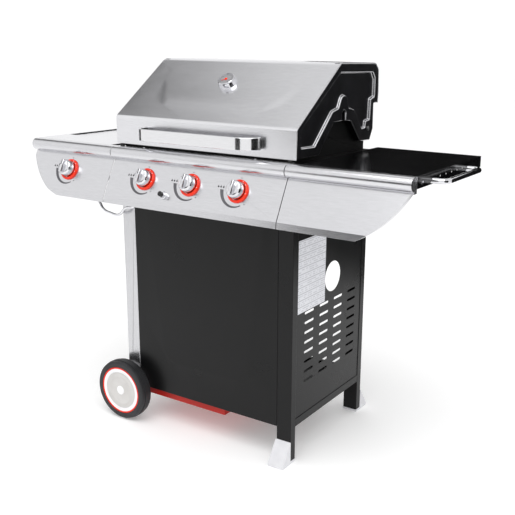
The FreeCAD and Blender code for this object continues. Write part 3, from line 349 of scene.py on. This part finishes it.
plainFinish = {
    "cooking_grates": "castIron", "heat_tents": "steelAcross", "burner_tubes": "steelUpright",
    "gas_manifold": "zinc", "gas_valves": "brass", "side_burner": "brass", "wheel_axle": "zinc",
    "hinge_pins": "zinc", "screws": "chrome", "igniter_collar": "chrome", "igniter_button": "blackPlastic",
    "knob_bezels": "redGloss", "wheel_front_ring": "redGloss", "wheel_rear_ring": "redGloss",
    "wheel_front_hub": "hub", "wheel_rear_hub": "hub", "wheel_front_tyre": "tyre",
    "wheel_rear_tyre": "tyre", "gauge_case": "chrome", "gauge_dial": "dialFace", "data_card": "card",
    "side_handle": "chrome", "tool_hook": "chrome", "valve_stem_side": "brass",
    "valve_stem_left": "brass", "valve_stem_middle": "brass", "valve_stem_right": "brass",
    "firebox": "ovenCoat",
}
for nodeName, finish in plainFinish.items():
    slots = nodes[nodeName].data.materials
    slots.clear()
    slots.append(finishes[finish])
print("CAD nodes finished:", len(plainFinish))


# ---- CAD parts whose folded or cast edges are rounded: node, finish, edge radius in mm

roundedParts = {
    "leg_front_left": ("steelUpright", 1.2), "leg_rear_left": ("steelUpright", 1.2),
    "leg_front_right": ("blackCoat", 1.2), "leg_rear_right": ("blackCoat", 1.2),
    "side_panel_left": ("blackCoat", 0.4),
    "side_panel_right": ("blackCoat", 0.4), "rear_crossbars": ("blackCoat", 1.2),
    "bottom_shelf": ("blackCoat", 0.3), "bottle_tray": ("redCoat", 0.4),
    "firebox_end_left": ("ovenCoat", 0.6), "firebox_end_right": ("ovenCoat", 0.6),
    "control_panel_left": ("steelPanel", 0.4), "control_panel_centre": ("steelPanel", 0.4),
    "control_panel_right": ("steelPanel", 0.4), "shelf_left": ("steelAcross", 0.4),
    "shelf_right": ("shelfCoat", 0.4), "side_burner_lid": ("steelAcross", 1.0),
    "side_burner_well": ("ovenCoat", 0.4), "pan_support": ("castIron", 0.8),
    "drip_tray": ("ovenCoat", 0.4), "foot_front_right": ("foot", 0.8), "foot_rear_right": ("foot", 0.8),
    "lid_handle": ("steelHandle", 1.6),
    "lid_side_left": ("castEnd", 2.6), "lid_side_right": ("castEnd", 2.6),
}
# the castings' edges get a lighter copy of their metal, a painted highlight; the centre panel stops short
# of its neighbours
paintedHighlightEdges = ("lid_side_left", "lid_side_right")
seamGap = {"control_panel_centre": 1.8}
# faces that meet within flatWithin degrees are one flat face; past creaseFrom degrees is an edge
flatWithin = 0.8
creaseFrom = 32


def roundedCopy(nodeName, finish, width):
    source = nodes[nodeName]
    bm = bmesh.new()
    bm.from_mesh(source.data)
    bmesh.ops.remove_doubles(bm, verts=bm.verts, dist=weld)
    bmesh.ops.dissolve_limit(bm, angle_limit=math.radians(flatWithin), verts=bm.verts, edges=bm.edges)
    if nodeName in seamGap:
        low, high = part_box(nodeName)
        for end, side in ((low, -1), (high, 1)):
            cut = bmesh.ops.bisect_plane(
                bm, geom=bm.verts[:] + bm.edges[:] + bm.faces[:], clear_outer=True,
                plane_co=(end.x - side * seamGap[nodeName] * mm, 0, 0), plane_no=(side, 0, 0))
            rim = [e for e in cut["geom_cut"] if isinstance(e, bmesh.types.BMEdge)]
            bmesh.ops.holes_fill(bm, edges=rim)
    # the bevel folds many-cornered faces over their own openings, so they are split first; on the
    # castings the fold is too small to see, while a split shows across their dark fields
    if nodeName not in paintedHighlightEdges:
        bmesh.ops.triangulate(bm, faces=[f for f in bm.faces if len(f.verts) > 4],
                              quad_method="BEAUTY", ngon_method="BEAUTY")
    piece = finishPiece(nodeName + "_finished", bm, source["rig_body"], finish,
                        (nodeName,), smooth=creaseFrom)
    # the CAD mesh brings its own normals, which would shade the new edges wrongly
    stale = piece.data.attributes.get("custom_normal")
    if stale:
        piece.data.attributes.remove(stale)
    softEdges(piece, width)
    # the rounded edges of the castings take the lighter metal, a painted highlight
    if nodeName in paintedHighlightEdges:
        piece.data.materials.append(finishes["castEdgeHighlight"])
        piece.modifiers["edge rounding"].material = 1
    return piece


for nodeName, (finish, width) in roundedParts.items():
    roundedCopy(nodeName, finish, width)
print("rounded parts made:", len(roundedParts))


# ---- a field pressed into a flat sheet, shared by the lid and the front panel

facingOut = 0.9999


def pressField(bm, out, start, across, up, press):
    # the field's corners run anticlockwise, in mm along across and up from start
    corners = press["corners"]
    bounds = []
    for (u, v), (nextU, nextV) in zip(corners, corners[1:] + corners[:1]):
        point = start + (across * u + up * v) * mm
        bounds.append((point, (across * (nextV - v) - up * (nextU - u)).normalized()))
    rows = [(start + up * v * mm, up) for v in press["rows"]]
    for point, normal in bounds + rows:
        flat = [f for f in bm.faces if f.normal.dot(out) > facingOut]
        parts = set(flat) | {e for f in flat for e in f.edges} | {v for f in flat for v in f.verts}
        bmesh.ops.bisect_plane(bm, geom=list(parts), dist=onPlane, plane_co=point, plane_no=normal)
    field = [f for f in bm.faces if f.normal.dot(out) > facingOut
             and all((f.calc_center_median() - point).dot(normal) < onPlane for point, normal in bounds)]
    bmesh.ops.inset_region(bm, faces=field, thickness=press["band"] * mm, depth=0, use_boundary=True,
                           use_even_offset=True)
    fadeFrom, fadeTo = press["fade"]
    for vert in {v for f in field for v in f.verts}:
        height = (vert.co - start).dot(up) / mm
        share = min(1, max(0, (fadeTo - height) / (fadeTo - fadeFrom)))
        vert.co += out * press["rise"] * mm * share


def sheetWall(piece, thick, offset):
    wall = piece.modifiers.new("sheet", "SOLIDIFY")
    wall.thickness = thick * mm
    wall.offset = offset
    evenShading(piece)


# ---- lid: one sheet with rolled bends, folded from its front edge to its back

lid = {
    "half": 325.6, "thick": 1.2,
    "corners": [(-4, 907), (-4, 989), (232, 1158.5), (451, 1155.6), (473, 1136), (477, 1062), (474, 1035)],
    "bends": {1: 6, 2: 14, 3: 7, 4: 7, 5: 5}, "bendSteps": 6,
    "press": {
        "corners": [(-172, 61.7), (172, 61.7), (192, 72), (258, 190), (270, 258),
                    (-270, 258), (-258, 190), (-192, 72)],
        "rows": (110, 150, 225), "band": 16, "rise": 3.4, "fade": (130, 240),
    },
}
# up the sloping front, from its lower bend to its upper one, and the way that it faces
(bendY, bendZ), (topY, topZ) = lid["corners"][1:3]
slopeSide = Vector((0, topY - bendY, topZ - bendZ)).normalized()
slopeOut = Vector((0, -slopeSide.z, slopeSide.y))


def makeLid():
    bm = bmesh.new()
    verts = [bm.verts.new(cart(-lid["half"], y, z)) for y, z in lid["corners"]]
    edges = [bm.edges.new(pair) for pair in zip(verts, verts[1:])]
    made = bmesh.ops.extrude_edge_only(bm, edges=edges)["geom"]
    far = [v for v in made if isinstance(v, bmesh.types.BMVert)]
    bmesh.ops.translate(bm, vec=(2 * lid["half"] * mm, 0, 0), verts=far)
    bm.normal_update()
    if not any(f.normal.dot(slopeOut) > 0.99 for f in bm.faces):
        bmesh.ops.reverse_faces(bm, faces=bm.faces)
    for index, radius in lid["bends"].items():
        y, z = lid["corners"][index]
        at = cart(0, y, z)
        bend = [e for e in bm.edges if all(abs(v.co.y - at.y) < weld and abs(v.co.z - at.z) < weld
                                           for v in e.verts)]
        roundOff(bm, bend, radius, lid["bendSteps"])
    bm.normal_update()
    pressField(bm, slopeOut, cart(0, *lid["corners"][1]), Vector((1, 0, 0)), slopeSide, lid["press"])
    piece = finishPiece("lid_skin_pressed", bm, "lid", "steelAcross", ("lid_skin",),
                        smooth=40)
    sheetWall(piece, lid["thick"], 1)


makeLid()
print("lid made")


# ---- black end caps of the lid handle, rounded on their outer side

handleCap = {"wide": 13, "round": 11.5, "roundSteps": 10, "edge": 1.0}


def makeHandleCaps():
    low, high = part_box("lid_handle_ends")
    bm = bmesh.new()
    for side, outer in ((-1, low.x), (1, high.x)):
        inner = outer - side * handleCap["wide"] * mm
        made = cuboid(bm, Vector((min(inner, outer), low.y, low.z)),
                      Vector((max(inner, outer), high.y, high.z)))
        rim = [e for e in bm.edges if all(v in made and abs(v.co.x - outer) < weld for v in e.verts)
               and abs(e.verts[0].co.y - e.verts[1].co.y) > weld]
        roundOff(bm, rim, handleCap["round"], handleCap["roundSteps"])
    piece = finishPiece("lid_handle_caps", bm, "lid", "blackPlastic",
                        ("lid_handle_ends",), smooth=40)
    softEdges(piece, handleCap["edge"])


makeHandleCaps()
print("handle caps made")


# ---- front panel: a shallow tray of sheet with a tapered field pressed out of it

frontPanel = {
    "thick": 1.2, "fold": 2.0, "foldSteps": 4,
    # this field keeps its full depth, since its fade lies above the panel
    "press": {
        "corners": [(-112, 213), (112, 213), (145, 222.3), (165, 250), (230, 738),
                    (-230, 738), (-165, 250), (-145, 222.3)],
        "rows": (), "band": 14, "rise": 3.4, "fade": (2000, 3000),
    },
}


def makeFrontPanel():
    low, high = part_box("front_panel")
    front = cart(0, 0, 0).y
    bm = bmesh.new()
    cuboid(bm, Vector((low.x, front, low.z)), high)
    bm.normal_update()
    bmesh.ops.delete(bm, geom=[f for f in bm.faces if f.normal.y > 0.9], context="FACES")
    folds = [e for e in bm.edges if all(abs(v.co.y - front) < weld for v in e.verts)]
    roundOff(bm, folds, frontPanel["fold"], frontPanel["foldSteps"])
    bm.normal_update()
    pressField(bm, Vector((0, -1, 0)), Vector((cartZero.x, front, 0)), Vector((1, 0, 0)),
               Vector((0, 0, 1)), frontPanel["press"])
    piece = finishPiece("front_panel_pressed", bm, "root", "blackCoat",
                        ("front_panel",), smooth=40)
    sheetWall(piece, frontPanel["thick"], -1)


makeFrontPanel()
print("front panel made")


# ---- knobs: chrome drum with a grip bar across it, turning on the stem

knob = {
    "drum": [(4.1, 4.2), (24.2, 4.2), (24.9, 5.0), (24.9, 23.5), (24.3, 25.4), (22.8, 28.2), (21.6, 29.5),
             (20.2, 30.3), (12.0, 31.0), (0, 31.2)],
    "stemHole": [(0, 16.7), (4.1, 16.7)],
    "gripHalf": 5.2, "gripLong": 20.8, "gripLow": 26, "gripTop": 41.8, "gripRound": 2.4, "gripSteps": 4,
    "lineHalf": 1.1, "lineFrom": 4, "lineInset": 2.6, "lineSunk": 0.15, "lineProud": 0.12,
}
knobBodies = {"side": "dial_knob_side", "left": "dial_knob_left", "middle": "dial_knob_middle",
              "right": "dial_knob_right"}


def knobPlace(word):
    joint = joints["knob_%s_turn" % word]
    return frameAt(Vector(joint["pos_m"]), joint["axis"])


def makeKnob(word):
    place = knobPlace(word)
    bm = bmesh.new()
    turn(bm, knob["drum"] + knob["stemHole"], place, steps=72)
    half, reach, top = knob["gripHalf"], knob["gripLong"], knob["gripTop"]
    block(bm, (-half, -reach, knob["gripLow"]), (half, reach, top), place,
          knob["gripRound"], knob["gripSteps"])
    finishPiece("knob_%s_chromed" % word, bm, knobBodies[word], "chrome",
                ("knob_" + word,), smooth=28, closed=True)
    bm = bmesh.new()
    block(bm, (-knob["lineHalf"], knob["lineFrom"], top - knob["lineSunk"]),
          (knob["lineHalf"], reach - knob["lineInset"], top + knob["lineProud"]), place)
    finishPiece("knob_%s_pointer" % word, bm, knobBodies[word], "inkBlack", closed=True)


for word in knobBodies:
    makeKnob(word)
print("knobs made")


# ---- screen print round each knob, and pad print on its red bezel

marks = {
    "lift": 0.06, "thick": 0.12,
    # a crescent round the knob, in degrees, its two radii narrowing from the first to the second
    "sweep": (180, 296), "sweepSteps": 36, "outer": (62, 45), "inner": (50, 42), "narrowing": 0.8,
    "dropX": (-70, -61, -52), "dropY": 7, "dropSize": 2.6, "dropTip": 3.2,
    "topDot": (0, 39), "endDot": (30, -34), "dotSize": 1.6,
    # the bezel's dots lie in these directions from the knob's middle
    "bezelDots": ((24, 52), (29.5, 24), (29.5, -6)), "bezelRadius": 30.2, "bezelDotSize": 1.0,
    "bezelLift": 6.95,
}


def thicken(bm, faces, place):
    # gives flat print its thickness, then puts it on the face
    made = bmesh.ops.extrude_face_region(bm, geom=faces)["geom"]
    bmesh.ops.translate(bm, vec=(0, 0, marks["thick"] * mm),
                        verts=[v for v in made if isinstance(v, bmesh.types.BMVert)])
    bmesh.ops.transform(bm, matrix=place, verts=bm.verts)
    bmesh.ops.recalc_face_normals(bm, faces=bm.faces)


def discFaces(bm, across, up, radius, height, point=0.0):
    made = bmesh.ops.create_circle(bm, cap_ends=True, radius=radius * mm, segments=20)["verts"]
    if point:
        tip = max(made, key=lambda v: v.co.y)
        tip.co.y += point * mm
    bmesh.ops.translate(bm, vec=Vector((across, up, height)) * mm, verts=made)
    return list({f for v in made for f in v.link_faces})


def makeMarks(word):
    place = knobPlace(word)
    start, end = marks["sweep"]
    bm = bmesh.new()
    # spun at radius 1 and 2 first, then each point is moved out to its own radius
    first = [bm.verts.new((radius * mm, 0, marks["lift"] * mm)) for radius in (1, 2)]
    edge = bm.edges.new(first)
    bmesh.ops.spin(bm, geom=first + [edge], cent=(0, 0, 0), axis=(0, 0, 1),
                   angle=math.radians(end - start), steps=marks["sweepSteps"])
    for vert in bm.verts:
        share = math.atan2(vert.co.y, vert.co.x) / math.radians(end - start)
        isOuter = vert.co.xy.length > 1.5 * mm
        wide = marks["outer"] if isOuter else marks["inner"]
        radius = wide[0] + (wide[1] - wide[0]) * max(share, 0) ** marks["narrowing"]
        angle = math.radians(start) + share * math.radians(end - start)
        vert.co.x, vert.co.y = radius * mm * math.cos(angle), radius * mm * math.sin(angle)
    thicken(bm, bm.faces[:], place)
    finishPiece("knob_%s_flow_mark" % word, bm, "root", "inkGrey")
    bm = bmesh.new()
    faces = discFaces(bm, *marks["topDot"], marks["dotSize"], marks["lift"])
    faces += discFaces(bm, *marks["endDot"], marks["dotSize"], marks["lift"])
    for across in marks["dropX"]:
        faces += discFaces(bm, across, marks["dropY"], marks["dropSize"], marks["lift"],
                           marks["dropTip"])
    thicken(bm, faces, place)
    finishPiece("knob_%s_symbols" % word, bm, "root", "inkBlack")
    bm = bmesh.new()
    faces = []
    for across, up in marks["bezelDots"]:
        share = marks["bezelRadius"] / math.hypot(across, up)
        faces += discFaces(bm, across * share, up * share, marks["bezelDotSize"], marks["bezelLift"])
    thicken(bm, faces, place)
    finishPiece("knob_%s_bezel_dots" % word, bm, "root", "inkWhite")


for word in knobBodies:
    makeMarks(word)
print("printed marks made")


# ---- thermometer: scale and needle on the dial

gauge = {
    "faceLift": 1.05, "ticks": 15, "tickIn": 17.5, "tickOut": 21.5, "tickThick": 0.15,
    "tickFrom": 225, "tickSweep": 270, "wideHalf": 0.7, "narrowHalf": 0.35,
    "needleAt": 215, "needleTail": 4, "needleLong": 15, "needleHalf": 0.8, "needleLow": 0.7,
    "needleHigh": 1.2, "needleRound": 0.2,
    "boss": [(0, 0), (4.5, 0), (4.5, 1.3), (3.4, 2.0), (0, 2.2)],
}


def makeGauge():
    low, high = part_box("gauge_dial")
    place = frameAt((low + high) / 2, slopeOut)
    lift = gauge["faceLift"]
    bm = bmesh.new()
    for index in range(gauge["ticks"]):
        angle = gauge["tickFrom"] - gauge["tickSweep"] * index / (gauge["ticks"] - 1)
        around = Matrix.Rotation(math.radians(angle), 4, "Z")
        half = gauge["narrowHalf"] if index % 2 else gauge["wideHalf"]
        block(bm, (gauge["tickIn"], -half, lift), (gauge["tickOut"], half, lift + gauge["tickThick"]),
              place @ around)
    finishPiece("gauge_scale", bm, "lid", "inkBlack", closed=True)
    bm = bmesh.new()
    around = Matrix.Rotation(math.radians(gauge["needleAt"]), 4, "Z")
    half = gauge["needleHalf"]
    block(bm, (-gauge["needleTail"], -half, lift + gauge["needleLow"]),
          (gauge["needleLong"], half, lift + gauge["needleHigh"]), place @ around, gauge["needleRound"])
    turn(bm, [(radius, lift + height) for radius, height in gauge["boss"]], place, steps=32)
    finishPiece("gauge_needle", bm, "lid", "redGloss", closed=True)


makeGauge()
print("gauge made")


# ---- wheels: printed disc with pressed rings, and a centre cap

wheel = {
    # the ring's outer face stands this far behind the tyre's face
    "ringBehind": 0.9,
    "disc": [(0, -3.3), (60.6, -3.3), (61.4, -2.8), (61.4, -2.5), (50, -2.5), (48.6, -1.7), (45.4, -1.7),
             (44, -2.5), (20, -2.5), (0, -2.5)],
    "cap": [(0, -2.6), (15, -2.6), (15, -1.4), (13.4, -0.4), (8, -0.2), (0, -0.1)],
}


def makeWheel(word, side):
    low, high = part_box("wheel_%s_ring" % word)
    middle = (low + high) / 2
    face = (low.y if side < 0 else high.y) + side * wheel["ringBehind"] * mm
    place = frameAt(Vector((middle.x, face, middle.z)), (0, side, 0))
    bm = bmesh.new()
    turn(bm, wheel["disc"], place, steps=96)
    finishPiece("wheel_%s_disc" % word, bm, word + "_wheel", "hubGrey", closed=True)
    bm = bmesh.new()
    turn(bm, wheel["cap"], place, steps=48)
    finishPiece("wheel_%s_cap" % word, bm, word + "_wheel", "hub", closed=True)


makeWheel("front", -1)
makeWheel("rear", 1)
print("wheels made")


# ---- rubber bumpers that the closed lid rests on, and pan-head screws on the crossbars

small = {
    "bumperX": 306, "bumperY": -3, "bumperZ": 900.1,
    "bumper": [(0, 0), (6.6, 0), (6.6, 4.3), (4.8, 6.1), (0, 6.5)],
    "screwInset": 14, "screwHeights": (131, 660),
    "screw": [(0, 0.02), (5.0, 0.02), (4.7, 1.2), (3.4, 2.3), (1.6, 2.5), (1.4, 1.4), (0, 1.4)],
}


def makeBumpers():
    bm = bmesh.new()
    for side in (-1, 1):
        place = Matrix.Translation(cart(side * small["bumperX"], small["bumperY"], small["bumperZ"]))
        turn(bm, small["bumper"], place, steps=32)
    finishPiece("lid_bumpers", bm, "root", "rubber", closed=True)


def makeFrameScrews():
    low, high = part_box("rear_crossbars")
    bm = bmesh.new()
    inset = small["screwInset"] * mm
    for height in small["screwHeights"]:
        for across in (low.x + inset, high.x - inset):
            turn(bm, small["screw"], frameAt(Vector((across, high.y, height * mm)), (0, 1, 0)), steps=28)
    finishPiece("frame_screws", bm, "root", "zinc", closed=True)


makeBumpers()
makeFrameScrews()
print("small parts made")


# ---- studio: pale floor, soft white room with a dark patch, one large soft light, dark cards

studio = {
    "floorSide": 80, "floorDrop": 0.0005, "floorGlow": 0.16,
    "room": 1.06, "zenith": 0.72, "zenithFrom": 0.55, "zenithFull": 0.98,
    "patch": (-0.78, 0.2, 0.6), "patchEdge": 0.935, "patchDark": 0.1,
    "key": 60, "keySize": 2.8, "keyAt": (0.6, -1.3, 3.5), "keyAim": (0, 0, 0.5),
    # dark cards out of view that give chrome and steel their dark bands: middle, facing, size
    "cards": (((1.9, -0.75, 0.8), (1, 0, 0), (1.3, 1.7)), ((-2.3, -0.1, 0.8), (1, 0, 0), (0.9, 1.7)),
              ((-0.7, -3.2, 1.1), (0, 1, 0), (1.6, 1.4)), ((-0.35, 2.5, 1.35), (0, 1, 0), (1.9, 1.3)),
              ((1.35, 1.6, 0.75), (0, 1, 0), (1.5, 1.5))),
}


def stagePlane(name, sizeX, sizeY, place, finish):
    bm = bmesh.new()
    made = bmesh.ops.create_grid(bm, x_segments=1, y_segments=1, size=0.5)["verts"]
    bmesh.ops.scale(bm, vec=(sizeX, sizeY, 1), verts=made)
    bmesh.ops.transform(bm, matrix=place, verts=made)
    mesh = bpy.data.meshes.new(name)
    bm.to_mesh(mesh)
    bm.free()
    mesh.materials.append(finish)
    plane = bpy.data.objects.new(name, mesh)
    bpy.context.scene.collection.objects.link(plane)
    return plane


def makeStudio():
    paper, _, shader, _ = newFinish("studio_paper_pale", {
        "Roughness": 0.95, "Base Color": linear("#fafafa"), "Specular IOR Level": 0.0,
        "Emission Color": (1, 1, 1, 1), "Emission Strength": studio["floorGlow"]})
    side = studio["floorSide"]
    stagePlane("floor", side, side, Matrix.Translation((0, 0, -studio["floorDrop"])), paper)
    felt = newFinish("studio_felt_black", {"Roughness": 1.0, "Base Color": linear("#151515"),
                                           "Specular IOR Level": 0.0})[0]
    for index, (middle, facing, (wide, tall)) in enumerate(studio["cards"]):
        place = frameAt(Vector(middle), facing, Vector((facing[1], facing[0], 0)))
        card = stagePlane("dark_card_%d" % index, wide, tall, place, felt)
        card.visible_camera = False
        card.visible_shadow = False
        card.visible_diffuse = False

    world = bpy.data.worlds.new("soft room")
    bpy.context.scene.world = world
    world.use_nodes = True
    tree = world.node_tree
    background = tree.nodes["Background"]
    where = addNode(tree, "ShaderNodeTexCoord").outputs["Generated"]
    axes = addNode(tree, "ShaderNodeSeparateXYZ", None, {0: where})
    high = addNode(tree, "ShaderNodeMapRange",
                   {"interpolation_type": "SMOOTHSTEP", "From Min": studio["zenithFrom"],
                    "From Max": studio["zenithFull"], "To Min": studio["room"],
                    "To Max": studio["zenith"]},
                   {"Value": axes.outputs["Z"]})
    towards = addNode(tree, "ShaderNodeVectorMath",
                      {"operation": "DOT_PRODUCT", 1: Vector(studio["patch"]).normalized()},
                      {0: where})
    patch = addNode(tree, "ShaderNodeMapRange",
                    {"interpolation_type": "SMOOTHSTEP", "From Min": studio["patchEdge"],
                     "From Max": 1.0, "To Min": 1.0, "To Max": studio["patchDark"]},
                    {"Value": towards.outputs["Value"]})
    level = addNode(tree, "ShaderNodeMath", {"operation": "MULTIPLY"},
                    {0: high.outputs[0], 1: patch.outputs[0]})
    background.inputs["Color"].default_value = (1, 1, 1, 1)
    tree.links.new(level.outputs[0], background.inputs["Strength"])

    light = bpy.data.lights.new("key softbox", "AREA")
    light.shape = "SQUARE"
    light.size = studio["keySize"]
    light.energy = studio["key"]
    lamp = bpy.data.objects.new("key softbox", light)
    lamp.location = studio["keyAt"]
    aim = Vector(studio["keyAim"]) - lamp.location
    lamp.rotation_euler = aim.to_track_quat("-Z", "Y").to_euler()
    bpy.context.scene.collection.objects.link(lamp)
    bpy.context.scene.view_settings.view_transform = "Standard"


makeStudio()


# ---- camera: three-quarter view from the front right, a little above the shelves. The distance is
# in metres, the target in the cart's mm, lens and sensor in mm, and the shift in frame widths.

view = {"azimuth": 32.33, "elevation": 14.92, "roll": -0.72, "distance": 2.48309,
        "target": (160.08, 200, 571.88), "sensor": 36, "lens": 55.98734, "shift": (-0.0512816, -0.0021553)}


def makeCamera():
    az, el = math.radians(view["azimuth"]), math.radians(view["elevation"])
    back = Vector((math.sin(az) * math.cos(el), -math.cos(az) * math.cos(el), math.sin(el)))
    target = cart(*view["target"])
    camera = bpy.data.cameras.new("camera")
    item = bpy.data.objects.new("camera", camera)
    bpy.context.scene.collection.objects.link(item)
    turned = back.to_track_quat("Z", "Y").to_matrix().to_4x4()
    roll = Matrix.Rotation(math.radians(-view["roll"]), 4, "Z")
    item.matrix_world = Matrix.Translation(target + back * view["distance"]) @ turned @ roll
    camera.sensor_width = view["sensor"]
    camera.lens = view["lens"]
    camera.shift_x, camera.shift_y = view["shift"]
    bpy.context.scene.camera = item


makeCamera()
print("studio and camera made")
